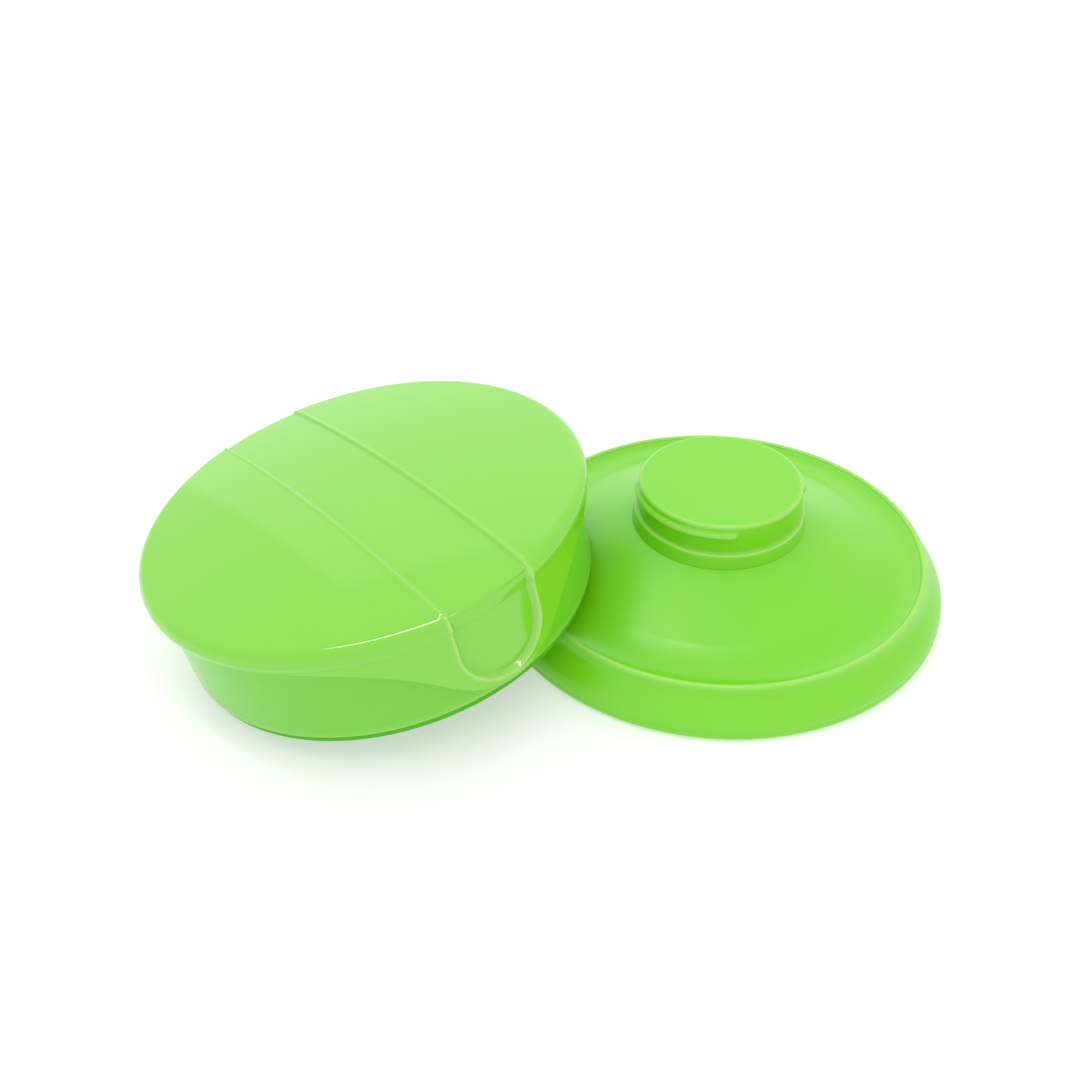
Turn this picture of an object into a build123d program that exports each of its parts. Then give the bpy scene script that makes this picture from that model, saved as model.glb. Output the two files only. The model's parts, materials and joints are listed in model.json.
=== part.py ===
from build123d import *
from math import acos, asin, cos, degrees, radians, sin
import os

# Pill crusher in two halves. The lower half stands flat with its axis on Z and the
# floor at Z = 0. The upper half lies beside it, face up, its foot on the floor at one
# side and over the lower half's plate at the other.
# All sizes are in millimetres and all angles in degrees.

# Lower half: flared wall, raised bead, and a plate that climbs to the boss
base_radius = 45.0
base_flare_height = 2.2
base_foot_inset = 1.2
base_waist_inset = 2.0
base_waist_height = 5.6
base_shoulder_inset = 3.6
bead_round = 0.7
bead_height = 9.7
valley_depth = 1.2
valley_inset = 2.95
valley_round = 8.0
boss_seat_height = 16.6
base_wall = 2.2
base_floor_thickness = 2.0
post_inset = 4.8
post_wall = 2.0

# Boss: a plug with two level locking lugs that stands on the plate
boss_radius = 15.8
boss_rise = 9.2
boss_edge_round = 0.8
boss_wall = 2.4
boss_face_thickness = 2.8
boss_roof_round = 1.5
collar_crest_step = 0.7
collar_foot_step = 1.1
collar_rise = 3.0
collar_round = 0.45
collar_root_round = 0.3
spigot_inset = 1.9
spigot_depth = 4.2
inside_round = 0.8

# Lugs: each of the socket's drops through a gap between the boss's, then turns under them
lug_reach = 0.8
lug_top_margin = 2.1
lug_thickness = 1.4
lug_crest_share = 0.45
lug_arc = 104.0
lug_end_heading = -89.0
lug_count = 2
lug_entry_arc = 8.0
socket_lug_reach = 0.7
socket_lug_thickness = 1.4

# Cover, in the upper half's own frame: Z = 0 is the plane of the rim's widest line
rim_overhang = 2.1
rim_round = 2.3
skirt_inset = 0.4
dome_rise = 3.0
cover_wall = 2.38
ledge_drop = 0.6
ledge_width = 3.0
band_width = 16.2
band_depth = 0.5
recess_depth = 1.1
tab_border = 2.0

# Cover's lower edge: level at its sides, then a wave down to a tab at each end of the band
edge_drop = 1.75
tab_margin = 2.1
wave_middle = 12.0
wave_middle_rise = 5.4
wave_slope = 43.0
wave_end = 37.0
wave_tab_pull = 5.3
wave_foot_pull = 4.0
wave_rise_pull = 6.5
wave_end_pull = 13.0

# Drum, and the socket plate that closes it from below
drum_wall = 2.1
drum_draft = 0.55
drum_edge_round = 0.4
foot_step = 1.38
foot_inset = 0.5
foot_width = 2.6
foot_round = 0.3
plate_wall = 2.0
roof_wall = 2.0
socket_wall = 2.2
socket_roof_round = 0.8
socket_root_round = 1.5

# Crushing pad: a disc on a stub that turns freely in the socket's roof
pad_inset = 1.2
pad_thickness = 2.6
pad_edge_round = 0.6
pad_groove_count = 16
pad_groove_width = 1.0
pad_groove_depth = 0.6
pad_groove_margin = 1.0
pad_hub_radius = 3.6
stub_radius = 3.0
stub_head_radius = 3.8
stub_head_height = 1.0

# Clearances
seam_gap = 0.1
running_gap = 0.1
lug_gap = 0.4
mating_gap = 1.2
seat_gap = 0.8
nest_gap = 0.55
grind_gap = 0.4
head_gap = 0.3

# Where the upper half lies
lean_gap = 0.56
lean_overlap = 19.95
lean_heading = 176.65
band_heading = 32.9
side_shift = -3.78

# Radii of the lower half
base_foot_radius = base_radius - base_foot_inset
shoulder_radius = base_radius - base_shoulder_inset
bead_radius = shoulder_radius - bead_round
bead_inner_radius = bead_radius - bead_round
collar_foot_radius = boss_radius + collar_foot_step
spigot_radius = boss_radius - spigot_inset
post_radius = boss_radius - post_inset

# Radii of the upper half, whose foot nests inside the bead and whose socket takes the boss
foot_radius = bead_inner_radius - nest_gap
valley_radius = foot_radius - valley_inset
drum_radius = foot_radius + foot_inset + drum_draft
drum_bore_radius = drum_radius - drum_wall
rim_radius = drum_radius + rim_overhang
socket_radius = boss_radius + lug_reach + lug_gap
mouth_radius = collar_foot_radius + lug_gap
socket_foot_radius = mouth_radius + socket_wall
lug_spacing = 360 / lug_count
socket_lug_arc = lug_spacing - lug_arc - lug_entry_arc

# Heights of the lower half
valley_height = bead_height - valley_depth
collar_height = boss_seat_height + collar_rise
boss_height = boss_seat_height + boss_rise
lug_height = boss_height - lug_top_margin
cone_slope = (boss_seat_height - valley_height) / (valley_radius - collar_foot_radius)

# Heights of the upper half: everything between the boss's face and the cover is stacked up
cover_top = rim_round + dome_rise
cover_ceiling = cover_top - band_depth - cover_wall
stub_top = cover_ceiling - head_gap
hub_top = stub_top - stub_head_height
roof_top = hub_top - running_gap
roof_level = roof_top - roof_wall
pad_top_level = roof_level - running_gap
pad_face_level = pad_top_level - pad_thickness
closed_height = boss_height + grind_gap - pad_face_level
foot_drop = closed_height - valley_height - seat_gap
drum_drop = foot_drop - foot_step
tab_drop = drum_drop - tab_margin
recess_drop = tab_drop - tab_border
mouth_level = collar_height + lug_gap - closed_height


def plate_height(radius):
    """Height of the lower half's conical plate at a radius."""
    return boss_seat_height - (radius - collar_foot_radius) * cone_slope


# The foot's far edge lies just over the plate, and its near edge on the floor
foot_span = 2 * foot_radius
lean_reach = base_radius + foot_span - lean_overlap
lean_angle = degrees(asin((plate_height(lean_reach - foot_span) + lean_gap) / foot_span))
lean_sine = sin(radians(lean_angle))
lean_cosine = cos(radians(lean_angle))
upper_x = foot_radius * lean_cosine - foot_drop * lean_sine - lean_reach
upper_z = foot_drop * lean_cosine + foot_radius * lean_sine


def spin(face):
    """A solid turned about Z from a face drawn in radius and height."""
    return revolve(Plane.XZ * face, Axis.Z)


def outline(*corners):
    """A closed face through (radius, height) corners; a third value rounds that corner."""
    face = make_face(Polyline(*[corner[:2] for corner in corners], close=True))
    for corner in corners:
        if len(corner) == 3:
            vertex = face.vertices().sort_by_distance((corner[0], corner[1], 0))[0]
            face = fillet(vertex, corner[2])
    return face


def place_upper(shape):
    """Moves a shape from the upper half's own frame to where the half lies."""
    turned = Rot(0, 0, lean_heading) * Rot(0, lean_angle, 0) * Rot(0, 0, band_heading - lean_heading)
    return Pos(upper_x, side_shift, upper_z) * turned * shape


def ring_lugs(root_radius, crest_radius, height, thickness, arc, end_heading):
    """Level ridges around a wall, spaced evenly."""
    half = thickness / 2
    taper = half * lug_crest_share
    section = make_face(
        Polyline(
            (root_radius, height - half),
            (crest_radius, height - taper),
            (crest_radius, height + taper),
            (root_radius, height + half),
            close=True,
        )
    )
    ridge = revolve(Plane.XZ * section, Axis.Z, revolution_arc=arc)
    return [Rot(0, 0, end_heading - arc + lug_spacing * index) * ridge for index in range(lug_count)]


def make_base_shell():
    bead_center = bead_height - bead_round
    shoulder = (shoulder_radius, bead_center)
    widest = (base_radius, base_flare_height)
    flare = Spline(
        shoulder,
        (base_radius - base_waist_inset, base_waist_height),
        widest,
        tangents=((0, -1), (0, -1)),
    )
    foot = TangentArc(widest, (base_foot_radius, 0), tangent=(0, -1))
    floor_radius = base_foot_radius - base_wall
    spigot_hole = spigot_radius + seam_gap
    inside = Polyline(
        (base_foot_radius, 0),
        (floor_radius, 0),
        (floor_radius, base_floor_thickness + seam_gap),
        (bead_inner_radius, bead_center - base_wall),
        (valley_radius, valley_height - base_wall),
        (collar_foot_radius, boss_seat_height - base_wall),
        (spigot_hole, boss_seat_height - base_wall),
        (spigot_hole, boss_seat_height),
        (collar_foot_radius, boss_seat_height),
        (valley_radius, valley_height),
        (bead_inner_radius, bead_center),
        shoulder,
    )
    section = make_face(flare + foot + inside)
    valley = section.vertices().sort_by_distance((valley_radius, valley_height, 0))[0]
    section = fillet(valley, valley_round)
    bead = Pos(bead_radius, bead_center) * Circle(bead_round)
    return spin(section + bead)


def make_base_floor():
    radius = base_foot_radius - base_wall - seam_gap
    post_top = boss_seat_height - spigot_depth
    return spin(
        outline(
            (0, 0),
            (radius, 0),
            (radius, base_floor_thickness),
            (post_radius, base_floor_thickness, inside_round),
            (post_radius, post_top),
            (post_radius - post_wall, post_top),
            (post_radius - post_wall, base_floor_thickness, inside_round),
            (0, base_floor_thickness),
        )
    )


def make_crushing_boss():
    bore = boss_radius - boss_wall
    spigot_bore = post_radius - post_wall
    spigot_bottom = boss_seat_height - spigot_depth
    roof = boss_height - boss_face_thickness
    body = spin(
        outline(
            (0, boss_height),
            (boss_radius, boss_height, boss_edge_round),
            (boss_radius, collar_height, collar_root_round),
            (boss_radius + collar_crest_step, collar_height, collar_round),
            (collar_foot_radius, boss_seat_height),
            (spigot_radius, boss_seat_height),
            (spigot_radius, spigot_bottom),
            (spigot_bore, spigot_bottom),
            (spigot_bore, boss_seat_height),
            (bore, boss_seat_height + boss_wall, inside_round),
            (bore, roof, boss_roof_round),
            (0, roof),
        )
    )
    root = boss_radius - boss_wall / 2
    crest = boss_radius + lug_reach
    for lug in ring_lugs(root, crest, lug_height, lug_thickness, lug_arc, lug_end_heading):
        body += lug
    return body


def cover_blank(side_inset, top_inset):
    """The cover's outside as a solid: a shallow dome, a rounded rim and a straight skirt.

    The side and the top can each be drawn in.
    """
    rounding_center = rim_radius - rim_round - side_inset
    skirt = rim_radius - skirt_inset - side_inset
    dome_radius = (rounding_center**2 + cover_top**2 - rim_round**2) / (2 * dome_rise)
    dome_sweep = degrees(asin(rounding_center / (dome_radius - rim_round)))
    under_sweep = degrees(acos((skirt - rounding_center) / rim_round))
    dome = JernArc((0, cover_top), (1, 0), dome_radius, -dome_sweep)
    rim = JernArc(dome @ 1, dome % 1, rim_round, dome_sweep - under_sweep - 90)
    bottom = -drum_drop
    sides = Polyline(rim @ 1, (skirt, bottom), (0, bottom), (0, cover_top))
    return Pos(0, 0, -top_inset) * spin(make_face(dome + rim + sides))


def below_wave():
    """A block under the cover's lower edge, with a wave that dips at each end of the band."""
    slope = radians(wave_slope)
    uphill = Vector(cos(slope), sin(slope))
    tab = Vector(0, -tab_drop)
    middle = Vector(wave_middle, wave_middle_rise - tab_drop)
    end = Vector(wave_end, -edge_drop)
    foot = Bezier(tab, tab + Vector(wave_tab_pull, 0), middle - uphill * wave_foot_pull, middle)
    rise = Bezier(middle, middle + uphill * wave_rise_pull, end - Vector(wave_end_pull, 0), end)
    reach = rim_radius + rim_round
    depth = foot_drop + rim_round
    close_off = Polyline(end, (reach, -edge_drop), (reach, -depth), (0, -depth), tab)
    half = make_face(foot + rise + close_off)
    both = half + mirror(half, Plane.YZ)
    return extrude(Plane.XZ * both, amount=reach, both=True)


def groove():
    """A band across the dome that runs on into a U-shaped finger recess at each end."""
    half_width = band_width / 2
    straight_end = half_width - recess_drop
    ceiling = cover_top + dome_rise
    upright = Pos(0, (ceiling + straight_end) / 2) * Rectangle(band_width, ceiling - straight_end)
    profile = upright + Pos(0, straight_end) * Circle(half_width)
    slab = extrude(Plane.XZ * profile, amount=rim_radius + rim_round, both=True)
    return slab - cover_blank(recess_depth, band_depth)


def make_upper_cover():
    bore = drum_radius + seam_gap
    ledge_radius = bore - ledge_width
    dome_radius = rim_radius**2 / (2 * dome_rise)
    sweep = degrees(asin(ledge_radius / dome_radius))
    inner_dome = JernArc((0, cover_ceiling), (1, 0), dome_radius, -sweep)
    sides = Polyline(
        inner_dome @ 1,
        (ledge_radius, -ledge_drop),
        (bore, -ledge_drop),
        (bore, -foot_drop),
        (0, -foot_drop),
        (0, cover_ceiling),
    )
    hollow = spin(make_face(inner_dome + sides))
    return cover_blank(0, 0) - hollow - below_wave() - groove()


def make_upper_drum():
    return spin(
        outline(
            (drum_radius, -ledge_drop),
            (drum_radius - drum_draft, -drum_drop, drum_edge_round),
            (drum_bore_radius, -drum_drop),
            (drum_bore_radius, -ledge_drop),
        )
    )


def make_socket_plate():
    rim_outer = drum_bore_radius - seam_gap
    ring_inner = foot_radius - foot_width
    web_outer = plate_height(ring_inner) + mating_gap - closed_height
    web_inner = plate_height(socket_foot_radius) + mating_gap - closed_height
    outer_socket = socket_radius + socket_wall
    hole = stub_radius + running_gap
    body = spin(
        outline(
            (hole, roof_top),
            (outer_socket, roof_top, socket_roof_round),
            (outer_socket, web_inner + plate_wall, socket_root_round),
            (ring_inner, web_outer + plate_wall),
            (rim_outer, plate_wall - drum_drop),
            (rim_outer, -drum_drop),
            (foot_radius, -drum_drop),
            (foot_radius, -foot_drop, foot_round),
            (ring_inner, -foot_drop),
            (ring_inner, web_outer),
            (mouth_radius, web_inner),
            (mouth_radius, mouth_level),
            (socket_radius, mouth_level + lug_gap),
            (socket_radius, roof_level),
            (hole, roof_level),
        )
    )
    spacing = (lug_thickness + socket_lug_thickness) / 2 + running_gap
    lug_level = lug_height - closed_height - spacing
    crest = socket_radius - socket_lug_reach
    root = socket_radius + socket_wall / 2
    for lug in ring_lugs(root, crest, lug_level, socket_lug_thickness, socket_lug_arc, 0):
        body += lug
    return body


def make_crushing_pad():
    pad_radius = boss_radius - pad_inset
    disc = spin(
        outline(
            (0, pad_face_level),
            (pad_radius, pad_face_level, pad_edge_round),
            (pad_radius, pad_top_level, pad_edge_round),
            (stub_radius, pad_top_level),
            (stub_radius, hub_top),
            (stub_head_radius, hub_top),
            (stub_radius, stub_top),
            (0, stub_top),
        )
    )
    length = pad_radius - pad_hub_radius - pad_groove_margin
    middle = pad_hub_radius + length / 2
    cut = Pos(middle, 0, pad_face_level) * Box(length, pad_groove_width, 2 * pad_groove_depth)
    grooves = [Rot(0, 0, 360 / pad_groove_count * index) * cut for index in range(pad_groove_count)]
    return disc - grooves


lower_builders = {
    "base_shell": make_base_shell,
    "base_floor": make_base_floor,
    "crushing_boss": make_crushing_boss,
}
upper_builders = {
    "upper_cover": make_upper_cover,
    "upper_drum": make_upper_drum,
    "socket_plate": make_socket_plate,
    "crushing_pad": make_crushing_pad,
}

os.makedirs("parts", exist_ok=True)
for name, builder in lower_builders.items():
    export_step(builder(), f"parts/{name}.step")
for name, builder in upper_builders.items():
    export_step(place_upper(builder()), f"parts/{name}.step")
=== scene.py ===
import json
import math

import bpy
import numpy as np
from mathutils import Matrix, Vector


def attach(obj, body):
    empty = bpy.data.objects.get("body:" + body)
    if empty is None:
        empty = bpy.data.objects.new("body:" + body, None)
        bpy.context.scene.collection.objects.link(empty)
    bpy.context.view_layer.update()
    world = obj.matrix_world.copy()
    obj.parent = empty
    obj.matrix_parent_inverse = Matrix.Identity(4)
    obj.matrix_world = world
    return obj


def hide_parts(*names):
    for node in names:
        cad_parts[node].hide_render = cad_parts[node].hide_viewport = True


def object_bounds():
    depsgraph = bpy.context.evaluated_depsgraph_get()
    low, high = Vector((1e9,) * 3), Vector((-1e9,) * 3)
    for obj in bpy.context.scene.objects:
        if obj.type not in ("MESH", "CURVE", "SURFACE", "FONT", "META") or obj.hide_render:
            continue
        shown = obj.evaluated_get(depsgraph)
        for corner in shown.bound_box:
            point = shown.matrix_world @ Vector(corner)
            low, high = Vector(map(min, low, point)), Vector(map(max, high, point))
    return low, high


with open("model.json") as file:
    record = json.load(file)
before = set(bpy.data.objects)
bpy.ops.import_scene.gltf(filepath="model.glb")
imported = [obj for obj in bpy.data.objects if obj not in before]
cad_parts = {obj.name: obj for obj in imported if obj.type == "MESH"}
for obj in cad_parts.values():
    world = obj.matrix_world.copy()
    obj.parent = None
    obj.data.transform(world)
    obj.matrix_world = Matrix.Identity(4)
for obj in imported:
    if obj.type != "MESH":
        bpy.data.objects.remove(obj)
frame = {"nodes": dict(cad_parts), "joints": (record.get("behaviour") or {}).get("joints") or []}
cad_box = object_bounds()

MM = 0.001

# ---------------------------------------------------------------- sizes, in millimetres
# Lower half: flared wall, raised bead, and a plate that climbs to the boss
BASE_RADIUS = 45.0
BASE_FLARE_HEIGHT = 2.2
BASE_FLARE_PULL = 5.4
BASE_SHOULDER_PULL = 6.7
BASE_FOOT_INSET = 1.2
BASE_FOOT_RADIUS = BASE_RADIUS - BASE_FOOT_INSET
BASE_FOOT_ROUND = 1.2
BASE_FOOT_START = 25
BASE_WALL = 2.2
BASE_REBATE = 2.1
BEAD_RADIUS = 40.7
BEAD_ROUND = 0.7
BEAD_HEIGHT = 9.7
BEAD_START = 165
VALLEY_RADIUS = 36.5
VALLEY_HEIGHT = 8.5
VALLEY_END = (2.6, 0.35)
VALLEY_OUTER_PULL = (1.0, 0.05)
VALLEY_INNER_PULL = (1.0, 0.1)
VALLEY_REACH = 5.0
SEAT_RADIUS = 16.9
SEAT_HEIGHT = 16.6

# Boss: a hollow plug with a collar, level lugs and a spigot that drops into the plate
BOSS_RADIUS = 15.8
BOSS_RISE = 9.2
BOSS_HEIGHT = SEAT_HEIGHT + BOSS_RISE
BOSS_WALL = 2.4
BOSS_FACE_THICKNESS = 2.8
BOSS_ROOF = BOSS_HEIGHT - BOSS_FACE_THICKNESS
BOSS_EDGE_ROUND = 0.9
BOSS_INSIDE_ROUND = 0.8
BOSS_ROOF_ROUND = 1.5
COLLAR_STEP = 0.7
COLLAR_RADIUS = BOSS_RADIUS + COLLAR_STEP
COLLAR_RISE = 3.0
COLLAR_HEIGHT = SEAT_HEIGHT + COLLAR_RISE
COLLAR_ROUND = 0.45
COLLAR_ROOT_ROUND = 0.35
SPIGOT_INSET = 1.9
SPIGOT_RADIUS = BOSS_RADIUS - SPIGOT_INSET
SPIGOT_BORE = 9.0
SPIGOT_BOTTOM = 12.4
LUG_COUNT = 2
LUG_REACH = 0.8
LUG_TOP_MARGIN = 2.1
LUG_HEIGHT = BOSS_HEIGHT - LUG_TOP_MARGIN
LUG_HALF = 0.6
LUG_ARC = 104.0
LUG_END = -89.0
LUG_FADE = 0.5
LUG_END_FADE = 1.2
LUG_MARGIN = 0.5

# Drum, in the upper half's own frame: height 0 is the rim's widest line
DRUM_RADIUS = 40.5
DRUM_DRAFT = 0.55
DRUM_WALL = 2.1
DRUM_DROP = 19.2
DRUM_EDGE_ROUND = 0.4

# Cover
RIM_OVERHANG = 2.08
RIM_RADIUS = DRUM_RADIUS + RIM_OVERHANG
RIM_ROUND = 2.3
SKIRT_INSET = 0.4
SKIRT_EDGE_ROUND = 0.35
DOME_RISE = 2.99
COVER_CEILING = 2.42
LEDGE_DROP = 0.6
LEDGE_WIDTH = 3.0
INNER_BEVEL = 0.15

# Band across the dome and the finger recess at each end of it, with a lip around them
BAND_WIDTH = 16.2
BAND_DEPTH = 0.45
BAND_HEADING = 32.9
RECESS_DEPTH = 0.9
STEP_WIDTH = 0.6
LIP_REACH = 0.36
LIP_WIDTH = 0.7
LIP_TOP_SHARE = 0.3
SIDE_START = 0.5

# Cover's lower edge: level at its sides, then a wave down to a tab at each end of the band
EDGE_DROP = 1.75
TAB_DROP = 17.1
TAB_BORDER = 2.0
RECESS_DROP = TAB_DROP - TAB_BORDER
WAVE_MIDDLE = 12.0
WAVE_MIDDLE_RISE = 5.4
WAVE_SLOPE = 43.0
WAVE_END = 37.0
WAVE_TAB_PULL = 5.3
WAVE_FOOT_PULL = 4.0
WAVE_RISE_PULL = 6.5
WAVE_END_PULL = 13.0

SEAM_GAP = 0.1

# How far from an edge its painted highlight spreads, and how much of that reaches the flat top
BEAD_HIGHLIGHT = 0.75
EDGE_HIGHLIGHT = 0.5
COLLAR_HIGHLIGHT = 0.4
BOSS_HIGHLIGHT_INSET = 0.2
COLLAR_HIGHLIGHT_INSET = 0.1
TOP_HIGHLIGHT = 0.35

# How finely each shape is divided
AROUND = 720
AROUND_FINE = 2 * AROUND
CORNER_STEPS = 8
FLARE_STEPS = 24
VALLEY_STEPS = 16
BEAD_STEPS = 16
WAVE_STEPS = 60
DOME_RINGS = 170
RIM_RINGS = 40
SKIRT_RINGS = 80
EDGE_RINGS = 7
CEILING_RINGS = 24
BOSS_GRID = 0.3
TOUCHING = 1e-6
TOO_CLOSE = 1e-4


# ---------------------------------------------------------------- frame of the upper half
turn = next(j for j in frame["joints"] if j["name"] == "upper_turn")
upper_axis = Vector(turn["axis"]).normalized()
upper_centre = Vector(turn["pos_m"])
lean_heading = math.atan2(upper_axis.y, upper_axis.x)
lean_angle = math.acos(upper_axis.z)
upper_place = (
    Matrix.Translation(upper_centre)
    @ Matrix.Rotation(lean_heading, 4, "Z")
    @ Matrix.Rotation(lean_angle, 4, "Y")
    @ Matrix.Rotation(math.radians(BAND_HEADING) - lean_heading, 4, "Z")
)


# ---------------------------------------------------------------- mesh helpers
def smoothstep(x):
    x = np.clip(x, 0.0, 1.0)
    return x * x * (3 - 2 * x)


def arc(centre, radius, start, end, steps):
    """Points on a circle in (radius, height), from one angle to another in degrees."""
    turn_by = np.radians(np.linspace(start, end, steps + 1))
    return [(centre[0] + radius * math.cos(a), centre[1] + radius * math.sin(a)) for a in turn_by]


def rounded(corners, closed=True):
    """A profile through (r, h) corners, each with an optional third value that rounds it."""
    points = []
    count = len(corners)
    for i, corner in enumerate(corners):
        here = np.array(corner[:2], float)
        radius = corner[2] if len(corner) > 2 else 0.0
        if radius == 0 or (not closed and i in (0, count - 1)):
            points.append(tuple(here))
            continue
        back = np.array(corners[i - 1][:2], float) - here
        ahead = np.array(corners[(i + 1) % count][:2], float) - here
        back /= np.linalg.norm(back)
        ahead /= np.linalg.norm(ahead)
        half = math.acos(np.clip(np.dot(back, ahead), -1, 1)) / 2
        cut = radius / math.tan(half)
        centre = here + (back + ahead) / np.linalg.norm(back + ahead) * radius / math.sin(half)
        a = here + back * cut - centre
        b = here + ahead * cut - centre
        start = math.atan2(a[1], a[0])
        sweep = (math.atan2(b[1], b[0]) - start + math.pi) % (2 * math.pi) - math.pi
        for k in range(CORNER_STEPS + 1):
            angle = start + sweep * k / CORNER_STEPS
            points.append((centre[0] + radius * math.cos(angle), centre[1] + radius * math.sin(angle)))
    return points


def spread(points, longest=1.5, guard=0.12):
    """Adds points along long straights, and one close to each end to keep shading crisp."""
    result = []
    for a, b in zip(points, points[1:] + points[:1]):
        a, b = np.array(a), np.array(b)
        length = np.linalg.norm(b - a)
        result.append(tuple(a))
        if length > 4 * guard:
            inner = max(1, math.ceil(length / longest))
            stops = [guard / length, *np.linspace(0, 1, inner + 1)[1:-1], 1 - guard / length]
            result += [tuple(a + (b - a) * t) for t in stops]
    return result


def bezier(p0, p1, p2, p3, steps):
    t = np.linspace(0, 1, steps + 1)[:, None]
    p0, p1, p2, p3 = map(np.array, (p0, p1, p2, p3))
    curve = (1 - t) ** 3 * p0 + 3 * (1 - t) ** 2 * t * p1 + 3 * (1 - t) * t**2 * p2 + t**3 * p3
    return [tuple(p) for p in curve]


def turned_mesh(name, radius, height, place=Matrix.Identity(4), highlight_paint=None):
    """A closed solid of revolution. radius and height are arrays [point, azimuth] in mm, with
    the profile's first and last points on the axis, or a loop that never meets the axis.
    rub gives each point's painted highlight, a pale colour on edges, from 0 to 1."""
    points, around = radius.shape
    azimuth = np.linspace(0, 2 * math.pi, around, endpoint=False)
    xyz = np.stack([radius * np.cos(azimuth), radius * np.sin(azimuth), height], -1) * MM
    poles = radius[0].max() < TOUCHING
    quads = []
    ring = np.arange(around)
    after = (ring + 1) % around
    if poles:
        body = xyz[1:-1].reshape(-1, 3)
        verts = np.vstack([xyz[0, :1], body, xyz[-1, :1]])
        rows = points - 2
        base = 1 + np.arange(rows) * around
    else:
        verts = xyz.reshape(-1, 3)
        rows = points
        base = np.arange(rows) * around
    row_pairs = list(zip(base[:-1], base[1:])) + ([] if poles else [(base[-1], base[0])])
    for low, high in row_pairs:
        quads.append(np.stack([low + ring, low + after, high + after, high + ring], -1))
    quads = np.concatenate(quads)
    faces = [quads.reshape(-1)]
    sizes = [np.full(len(quads), 4)]
    if poles:
        last = len(verts) - 1
        cap_start = np.stack([np.zeros(around, int), base[0] + after, base[0] + ring], -1)
        cap_end = np.stack([np.full(around, last), base[-1] + ring, base[-1] + after], -1)
        faces += [cap_start.reshape(-1), cap_end.reshape(-1)]
        sizes += [np.full(around, 3)] * 2
    loops, sizes = np.concatenate(faces), np.concatenate(sizes)
    starts = np.concatenate([[0], np.cumsum(sizes)[:-1]])
    mesh = bpy.data.meshes.new(name)
    mesh.vertices.add(len(verts))
    mesh.vertices.foreach_set("co", verts.astype(np.float32).reshape(-1))
    mesh.loops.add(len(loops))
    mesh.loops.foreach_set("vertex_index", loops.astype(np.int32))
    mesh.polygons.add(len(sizes))
    mesh.polygons.foreach_set("loop_start", starts.astype(np.int32))
    mesh.polygons.foreach_set("loop_total", sizes.astype(np.int32))
    if highlight_paint is not None:
        highlight_values = highlight_paint.reshape(-1)
        if poles:
            highlight_values = np.concatenate([highlight_paint[0, :1], highlight_paint[1:-1].reshape(-1), highlight_paint[-1, :1]])
        attribute = mesh.attributes.new("highlight_paint", "FLOAT", "POINT")
        attribute.data.foreach_set("value", highlight_values.astype(np.float32))
    mesh.update(calc_edges=True)
    mesh.validate()
    mesh.transform(place)
    mesh.polygons.foreach_set("use_smooth", [True] * len(mesh.polygons))
    volume = sum(p.center.dot(p.normal) * p.area for p in mesh.polygons)
    if volume < 0:
        mesh.flip_normals()
    thing = bpy.data.objects.new(name, mesh)
    bpy.context.scene.collection.objects.link(thing)
    return thing


def highlight_near(radius, height, spots):
    """Painted highlight mask: 1 on each (radius, height, width) spot of a profile, fading to 0 around
    it.
    """
    total = np.zeros(np.shape(radius))
    for spot_r, spot_h, width in spots:
        apart = (radius - spot_r) ** 2 + (height - spot_h) ** 2
        total = np.maximum(total, np.exp(-apart / width**2))
    return total


def turned(name, profile, place=Matrix.Identity(4), spots=()):
    """turned_mesh for a profile that is the same all the way round."""
    profile = np.array(profile)
    radius = np.repeat(profile[:, :1], AROUND, 1)
    height = np.repeat(profile[:, 1:], AROUND, 1)
    return turned_mesh(name, radius, height, place, highlight_near(radius, height, spots))


# ---------------------------------------------------------------- upper half
def wave_curve():
    """The cover's lower edge as (distance from the band's middle line, height) points."""
    slope = math.radians(WAVE_SLOPE)
    uphill = np.array((math.cos(slope), math.sin(slope)))
    tab = np.array((0.0, -TAB_DROP))
    middle = np.array((WAVE_MIDDLE, WAVE_MIDDLE_RISE - TAB_DROP))
    end = np.array((WAVE_END, -EDGE_DROP))
    foot = bezier(tab, tab + (WAVE_TAB_PULL, 0), middle - uphill * WAVE_FOOT_PULL, middle, WAVE_STEPS)
    rise = bezier(middle, middle + uphill * WAVE_RISE_PULL, end - (WAVE_END_PULL, 0), end, WAVE_STEPS)
    return np.array(foot + rise[1:])


def wave_height(x):
    """Height of the cover's lower edge at a distance x from the band's middle line."""
    curve = wave_curve()
    return np.interp(np.abs(x), curve[:, 0], curve[:, 1])


def groove_distance(x, h):
    """How far a point lies outside the outline of the band and its U-shaped finger recesses."""
    half = BAND_WIDTH / 2
    straight_end = half - RECESS_DROP
    return np.where(h > straight_end, np.abs(x), np.hypot(x, h - straight_end)) - half


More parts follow.
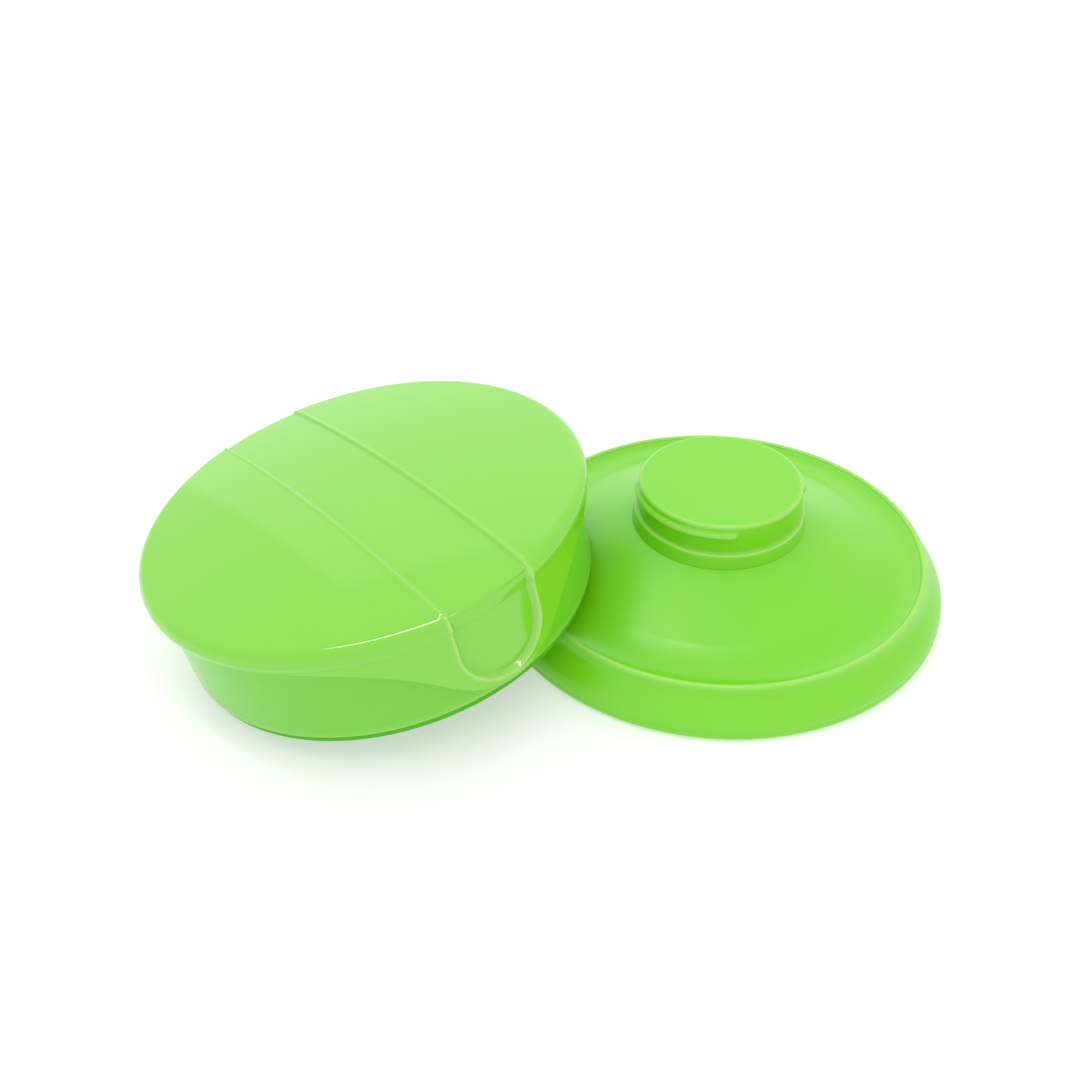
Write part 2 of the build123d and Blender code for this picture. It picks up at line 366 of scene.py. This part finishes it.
def make_cover():
    """Dome, rim, skirt and wavy edge as rings, then the band, recesses and lip pressed into them."""
    azimuth = np.linspace(0, 2 * math.pi, AROUND_FINE, endpoint=False)
    top = RIM_ROUND + DOME_RISE
    round_r = RIM_RADIUS - RIM_ROUND
    skirt_r = RIM_RADIUS - SKIRT_INSET
    dome_radius = (round_r**2 + top**2 - RIM_ROUND**2) / (2 * DOME_RISE)
    sweep = math.asin(round_r / (dome_radius - RIM_ROUND))
    under = math.acos((skirt_r - round_r) / RIM_ROUND)
    edge = wave_height(RIM_RADIUS * np.cos(azimuth))

    radius, height, normal_r, normal_h = [], [], [], []

    def ring(r, h, nr=0.0, nh=0.0):
        radius.append(np.full(AROUND_FINE, r) if np.isscalar(r) else r)
        height.append(np.full(AROUND_FINE, h) if np.isscalar(h) else h)
        normal_r.append(nr)
        normal_h.append(nh)

    dome_edge = dome_radius * math.sin(sweep)
    for r in np.linspace(0, dome_edge, DOME_RINGS):
        ring(r, top - dome_radius + math.sqrt(dome_radius**2 - r**2), r / dome_radius, 1.0)
    for angle in np.linspace(math.pi / 2 - sweep, -under, RIM_RINGS)[1:]:
        ring(
            round_r + RIM_ROUND * math.cos(angle),
            RIM_ROUND * math.sin(angle),
            math.cos(angle),
            max(math.sin(angle), 0.0),
        )
    skirt_top = -RIM_ROUND * math.sin(under)
    for share in np.linspace(0, 1, SKIRT_RINGS)[1:]:
        ring(skirt_r, skirt_top + (edge + SKIRT_EDGE_ROUND - skirt_top) * share, 1.0)
    for angle in np.linspace(0, -math.pi / 2, EDGE_RINGS)[1:]:
        out, down = math.cos(angle) - 1, math.sin(angle)
        ring(skirt_r + SKIRT_EDGE_ROUND * out, edge + SKIRT_EDGE_ROUND * (1 + down))
    bore = DRUM_RADIUS + SEAM_GAP
    ledge = bore - LEDGE_WIDTH
    ring(bore + INNER_BEVEL, edge)
    ring(bore, edge + INNER_BEVEL)
    ring(bore, -LEDGE_DROP - INNER_BEVEL)
    ring(bore - INNER_BEVEL, -LEDGE_DROP)
    ring(ledge, -LEDGE_DROP)
    inner_radius = RIM_RADIUS**2 / (2 * DOME_RISE)
    for r in np.linspace(ledge, 0, CEILING_RINGS):
        ring(r, COVER_CEILING - inner_radius + math.sqrt(inner_radius**2 - r**2))

    radius, height = np.array(radius), np.array(height)
    away = groove_distance(radius * np.cos(azimuth), height)
    sunk = smoothstep(0.5 - away / STEP_WIDTH)
    lip = np.exp(-(((away - STEP_WIDTH / 2) / LIP_WIDTH) ** 2) * 2)
    raised = LIP_REACH * lip * (1 - sunk)
    nr, nh = np.array(normal_r)[:, None], np.array(normal_h)[:, None]
    on_side = smoothstep((nr - SIDE_START) / (1 - SIDE_START))
    radius = radius + (raised - RECESS_DEPTH * sunk) * on_side
    height = height + (raised * LIP_TOP_SHARE - BAND_DEPTH * sunk) * nh
    # Painted highlight: pale colour along the lip round the band and recesses, fullest on the sides.
    highlight_paint = lip * (TOP_HIGHLIGHT + (1 - TOP_HIGHLIGHT) * on_side) * (nr + nh > 0)
    return turned_mesh("cap", radius, height, upper_place, highlight_paint)


def make_drum():
    """A short tube that narrows downwards by its draft."""
    bore = DRUM_RADIUS - DRUM_WALL
    foot = DRUM_RADIUS - DRUM_DRAFT
    profile = rounded(
        [
            (DRUM_RADIUS, -LEDGE_DROP),
            (foot, -DRUM_DROP, DRUM_EDGE_ROUND),
            (bore, -DRUM_DROP),
            (bore, -LEDGE_DROP),
        ]
    )
    # The drum's bottom edge gets a painted highlight.
    return turned("drum_wall", spread(profile), upper_place, [(foot, -DRUM_DROP, EDGE_HIGHLIGHT)])


# ---------------------------------------------------------------- lower half
def make_base():
    """Flared wall, bead and conical plate, hollow underneath, with a hole for the boss's spigot."""
    centre_h = BEAD_HEIGHT - BEAD_ROUND
    shoulder = BEAD_RADIUS + BEAD_ROUND
    flare = bezier(
        (shoulder, centre_h),
        (shoulder, BASE_SHOULDER_PULL),
        (BASE_RADIUS, BASE_FLARE_PULL),
        (BASE_RADIUS, BASE_FLARE_HEIGHT),
        FLARE_STEPS,
    )
    foot_centre = (BASE_FOOT_RADIUS, BASE_FOOT_ROUND)
    foot = arc(foot_centre, BASE_FOOT_ROUND, BASE_FOOT_START, -90, CORNER_STEPS)
    inner_wall = BASE_FOOT_RADIUS - BASE_WALL
    seat_hole = SPIGOT_RADIUS + SEAM_GAP
    inside = [
        (inner_wall, 0.0),
        (inner_wall, BASE_REBATE),
        (BEAD_RADIUS - BEAD_ROUND, centre_h - BASE_WALL),
        (VALLEY_RADIUS, VALLEY_HEIGHT - BASE_WALL),
        (SEAT_RADIUS, SEAT_HEIGHT - BASE_WALL),
        (seat_hole, SEAT_HEIGHT - BASE_WALL),
        (seat_hole, SEAT_HEIGHT),
        (SEAT_RADIUS, SEAT_HEIGHT),
    ]
    slope = (SEAT_HEIGHT - VALLEY_HEIGHT) / (VALLEY_RADIUS - SEAT_RADIUS)
    valley = bezier(
        (VALLEY_RADIUS + VALLEY_END[0], VALLEY_HEIGHT + VALLEY_END[1]),
        (VALLEY_RADIUS + VALLEY_OUTER_PULL[0], VALLEY_HEIGHT + VALLEY_OUTER_PULL[1]),
        (VALLEY_RADIUS - VALLEY_INNER_PULL[0], VALLEY_HEIGHT + VALLEY_INNER_PULL[1]),
        (VALLEY_RADIUS - VALLEY_REACH, VALLEY_HEIGHT + VALLEY_REACH * slope),
        VALLEY_STEPS,
    )
    bead = arc((BEAD_RADIUS, centre_h), BEAD_ROUND, BEAD_START, 0, BEAD_STEPS)
    outline = flare[:-1] + foot + inside + valley[::-1] + bead[:-1]
    # The bead's crest gets a painted highlight.
    return turned("base_disc", spread(outline), spots=[(BEAD_RADIUS, BEAD_HEIGHT, BEAD_HIGHLIGHT)])


def make_boss():
    """A hollow plug on its spigot, with the lugs pressed outwards from its wall."""
    bore = BOSS_RADIUS - BOSS_WALL
    profile = rounded(
        [
            (0.0, BOSS_HEIGHT),
            (BOSS_RADIUS, BOSS_HEIGHT, BOSS_EDGE_ROUND),
            (BOSS_RADIUS, COLLAR_HEIGHT, COLLAR_ROOT_ROUND),
            (COLLAR_RADIUS, COLLAR_HEIGHT, COLLAR_ROUND),
            (SEAT_RADIUS, SEAT_HEIGHT),
            (SPIGOT_RADIUS, SEAT_HEIGHT),
            (SPIGOT_RADIUS, SPIGOT_BOTTOM),
            (SPIGOT_BORE, SPIGOT_BOTTOM),
            (SPIGOT_BORE, SEAT_HEIGHT),
            (bore, SEAT_HEIGHT + BOSS_WALL, BOSS_INSIDE_ROUND),
            (bore, BOSS_ROOF, BOSS_ROOF_ROUND),
            (0.0, BOSS_ROOF),
        ],
        closed=False,
    )
    line = spread(profile, longest=BOSS_GRID)
    steps = [math.inf] + [math.dist(a, b) for a, b in zip(line, line[1:])]
    line = np.array([point for point, step in zip(line, steps) if step > TOO_CLOSE])
    # The points that spread adds along the axis are left out, so the line ends under the roof.
    under_roof = (line[:, 0] < TOUCHING) & (np.abs(line[:, 1] - BOSS_ROOF) < TOUCHING)
    line = line[: np.flatnonzero(under_roof).max() + 1]

    azimuth = np.linspace(0, 360, AROUND_FINE, endpoint=False)
    radius = np.repeat(line[:, :1], AROUND_FINE, 1)
    height = np.repeat(line[:, 1:], AROUND_FINE, 1)
    on_wall = (line[:, 0] > BOSS_RADIUS - LUG_MARGIN) & (line[:, 1] > COLLAR_HEIGHT)
    along = (LUG_END - azimuth) % (360 / LUG_COUNT)
    from_end = np.minimum(along, LUG_ARC - along) * math.radians(1) * BOSS_RADIUS
    ends = smoothstep(from_end / LUG_END_FADE)
    across = smoothstep((LUG_HALF + LUG_FADE / 2 - np.abs(height - LUG_HEIGHT)) / LUG_FADE)
    radius = radius + LUG_REACH * on_wall[:, None] * across * ends
    # Painted highlights on the boss's top edge, collar and lugs.
    spots = [
        (BOSS_RADIUS - BOSS_HIGHLIGHT_INSET, BOSS_HEIGHT - BOSS_HIGHLIGHT_INSET, EDGE_HIGHLIGHT),
        (COLLAR_RADIUS - COLLAR_HIGHLIGHT_INSET, COLLAR_HEIGHT - COLLAR_HIGHLIGHT_INSET, COLLAR_HIGHLIGHT),
        (BOSS_RADIUS + LUG_REACH, LUG_HEIGHT, EDGE_HIGHLIGHT),
    ]
    return turned_mesh("boss", radius, height, highlight_paint=highlight_near(radius, height, spots))


# ---------------------------------------------------------------- materials
FLOW_SCALE = 18
FLOW_DETAIL = 3
GLOSS_SCALE = 120
GLOSS_DETAIL = 4
GLOSS_ROUGHNESS = 0.6
GLOSS_LEAST = 0.8
GLOSS_MOST = 1.25
PEEL_SCALE = 220
PEEL_DETAIL = 1
PEEL_STRENGTH = 0.03
PEEL_DISTANCE = 0.0001
# Pale colour painted onto edges as a highlight, and the most of it that is mixed in.
HIGHLIGHT_COLOUR = (0.48, 0.74, 0.20, 1)
HIGHLIGHT_MOST = 0.5
GLOW_WEIGHT = 0.15
GLOW_RADIUS = (0.35, 1.0, 0.15)
GLOW_SCALE = 0.0015


def moulded(name, colour, roughness, deep, ior):
    """Glossy moulded plastic: uneven tint, uneven gloss, faint orange peel and a pale painted highlight
    along edges.
    """
    material = bpy.data.materials.new(name)
    material.use_nodes = True
    nodes, links = material.node_tree.nodes, material.node_tree.links
    shader = nodes["Principled BSDF"]
    where = nodes.new("ShaderNodeTexCoord")

    def noise(scale, detail, rough=0.5):
        node = nodes.new("ShaderNodeTexNoise")
        node.inputs["Scale"].default_value = scale
        node.inputs["Detail"].default_value = detail
        node.inputs["Roughness"].default_value = rough
        links.new(where.outputs["Object"], node.inputs["Vector"])
        return node

    # On a mix node that works in colour, sockets 6 and 7 are its two colours and output 2 its result.
    tint = nodes.new("ShaderNodeMix")
    tint.data_type = "RGBA"
    tint.inputs[6].default_value = (*deep, 1)
    tint.inputs[7].default_value = (*colour, 1)
    links.new(noise(FLOW_SCALE, FLOW_DETAIL).outputs["Fac"], tint.inputs[0])
    # The painted highlight attribute mixes the pale highlight colour into the tint.
    highlight_paint = nodes.new("ShaderNodeAttribute")
    highlight_paint.attribute_name = "highlight_paint"
    highlight_share = nodes.new("ShaderNodeMath")
    highlight_share.operation = "MULTIPLY"
    highlight_share.inputs[1].default_value = HIGHLIGHT_MOST
    links.new(highlight_paint.outputs["Fac"], highlight_share.inputs[0])
    highlight_mix = nodes.new("ShaderNodeMix")
    highlight_mix.data_type = "RGBA"
    highlight_mix.inputs[7].default_value = HIGHLIGHT_COLOUR
    links.new(highlight_share.outputs[0], highlight_mix.inputs[0])
    links.new(tint.outputs[2], highlight_mix.inputs[6])
    links.new(highlight_mix.outputs[2], shader.inputs["Base Color"])

    gloss = nodes.new("ShaderNodeMapRange")
    gloss.inputs["To Min"].default_value = roughness * GLOSS_LEAST
    gloss.inputs["To Max"].default_value = roughness * GLOSS_MOST
    links.new(noise(GLOSS_SCALE, GLOSS_DETAIL, GLOSS_ROUGHNESS).outputs["Fac"], gloss.inputs["Value"])
    links.new(gloss.outputs["Result"], shader.inputs["Roughness"])

    bump = nodes.new("ShaderNodeBump")
    bump.inputs["Strength"].default_value = PEEL_STRENGTH
    bump.inputs["Distance"].default_value = PEEL_DISTANCE
    links.new(noise(PEEL_SCALE, PEEL_DETAIL).outputs["Fac"], bump.inputs["Height"])
    links.new(bump.outputs["Normal"], shader.inputs["Normal"])

    shader.inputs["IOR"].default_value = ior
    shader.inputs["Subsurface Weight"].default_value = GLOW_WEIGHT
    shader.inputs["Subsurface Radius"].default_value = GLOW_RADIUS
    shader.inputs["Subsurface Scale"].default_value = GLOW_SCALE
    return material


cap_green = moulded(
    "cap_green", colour=(0.205, 0.63, 0.014), deep=(0.185, 0.60, 0.009), roughness=0.08, ior=1.82
)
drum_green = moulded(
    "drum_green", colour=(0.165, 0.60, 0.012), deep=(0.15, 0.57, 0.008), roughness=0.16, ior=1.7
)
base_green = moulded(
    "base_green", colour=(0.195, 0.65, 0.006), deep=(0.175, 0.62, 0.004), roughness=0.30, ior=1.62
)
# The foot ring is painted a darker green that stands for the shade close to the floor.
foot_painted_shade_green = moulded(
    "foot_painted_shade_green", colour=(0.09, 0.46, 0.006), deep=(0.08, 0.43, 0.004), roughness=0.45, ior=1.3
)
pad_green = moulded(
    "pad_green", colour=(0.33, 0.66, 0.18), deep=(0.29, 0.62, 0.15), roughness=0.35, ior=1.5
)


def dress(thing, material):
    thing.data.materials.clear()
    thing.data.materials.append(material)


cap = make_cover()
drum = make_drum()
base = make_base()
boss = make_boss()

for piece, node, body, slot, material in (
    (cap, "upper_cover", "upper_half", "cap_plastic", cap_green),
    (drum, "upper_drum", "upper_half", "drum_plastic", drum_green),
    (base, "base_shell", "lower_half", "base_plastic", base_green),
    (boss, "crushing_boss", "lower_half", "base_plastic", base_green),
):
    dress(piece, material)
    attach(piece, body)
    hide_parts(node)

# The socket plate's darker green is painted shade.
for node, material in (
    ("socket_plate", foot_painted_shade_green),
    ("base_floor", base_green),
    ("crushing_pad", pad_green),
):
    dress(frame["nodes"][node], material)

# ---------------------------------------------------------------- stage, light and camera, in metres
FLOOR_HALF = 4.0
FLOOR_GAP = 0.0001
PAPER_COLOUR = (0.62, 0.62, 0.62, 1)
PAPER_ROUGHNESS = 0.9
PAPER_GLOW = 0.42
WHITE = (1, 1, 1, 1)
SKY_STRENGTH = 1.0

floor_mesh = bpy.data.meshes.new("floor")
floor_corners = [(x * FLOOR_HALF, y * FLOOR_HALF, 0) for x, y in ((-1, -1), (1, -1), (1, 1), (-1, 1))]
floor_mesh.from_pydata(floor_corners, [], [(0, 1, 2, 3)])
floor = bpy.data.objects.new("floor", floor_mesh)
bpy.context.scene.collection.objects.link(floor)
floor.location.z = cad_box[0].z - FLOOR_GAP
paper = bpy.data.materials.new("paper")
paper.use_nodes = True
paper_shader = paper.node_tree.nodes["Principled BSDF"]
paper_shader.inputs["Base Color"].default_value = PAPER_COLOUR
paper_shader.inputs["Roughness"].default_value = PAPER_ROUGHNESS
paper_shader.inputs["Emission Color"].default_value = WHITE
paper_shader.inputs["Emission Strength"].default_value = PAPER_GLOW
floor_mesh.materials.append(paper)

world = bpy.data.worlds.new("studio")
bpy.context.scene.world = world
world.use_nodes = True
world.node_tree.nodes["Background"].inputs["Color"].default_value = WHITE
world.node_tree.nodes["Background"].inputs["Strength"].default_value = SKY_STRENGTH


def softbox(name, location, target, width, height, watts):
    light = bpy.data.lights.new(name, "AREA")
    light.shape = "RECTANGLE"
    light.size, light.size_y = width, height
    light.energy = watts
    holder = bpy.data.objects.new(name, light)
    bpy.context.scene.collection.objects.link(holder)
    holder.location = location
    holder.rotation_euler = (Vector(target) - Vector(location)).to_track_quat("-Z", "Y").to_euler()


# A long strip overhead draws the streak on the rim.
softbox("key", location=(-0.13, -0.1, 0.9), target=(-0.03, 0, 0), width=1.05, height=0.06, watts=1.9)
# A wide white panel stands behind; its near edge and its top edge show in the dome.
softbox("panel", location=(0.12, 1.2, 0.66), target=(0.12, 0, 0.66), width=1.66, height=1.32, watts=2.0)

# The camera looks down at the two halves from the front.
CAMERA_PLACE = (-0.0507, -0.1962, 0.1629)
CAMERA_YAW = 4.476
CAMERA_PITCH = 37.119
CAMERA_ROLL = -1.352
LENS = 41.76
SENSOR_WIDTH = 36.0
CLIP_START = 0.01
camera = bpy.data.objects.new("camera", bpy.data.cameras.new("camera"))
bpy.context.scene.collection.objects.link(camera)
camera.location = CAMERA_PLACE
yaw, pitch, roll = (math.radians(a) for a in (CAMERA_YAW, CAMERA_PITCH, CAMERA_ROLL))
ahead = Vector((math.sin(yaw) * math.cos(pitch), math.cos(yaw) * math.cos(pitch), -math.sin(pitch)))
right = Vector((math.cos(yaw), -math.sin(yaw), 0))
up = right.cross(ahead)
right, up = right * math.cos(roll) + up * math.sin(roll), up * math.cos(roll) - right * math.sin(roll)
camera.rotation_euler = Matrix((right, up, -ahead)).transposed().to_euler()
camera.data.lens = LENS
camera.data.sensor_width = SENSOR_WIDTH
camera.data.clip_start = CLIP_START
bpy.context.scene.camera = camera

bpy.context.scene.view_settings.view_transform = "Standard"
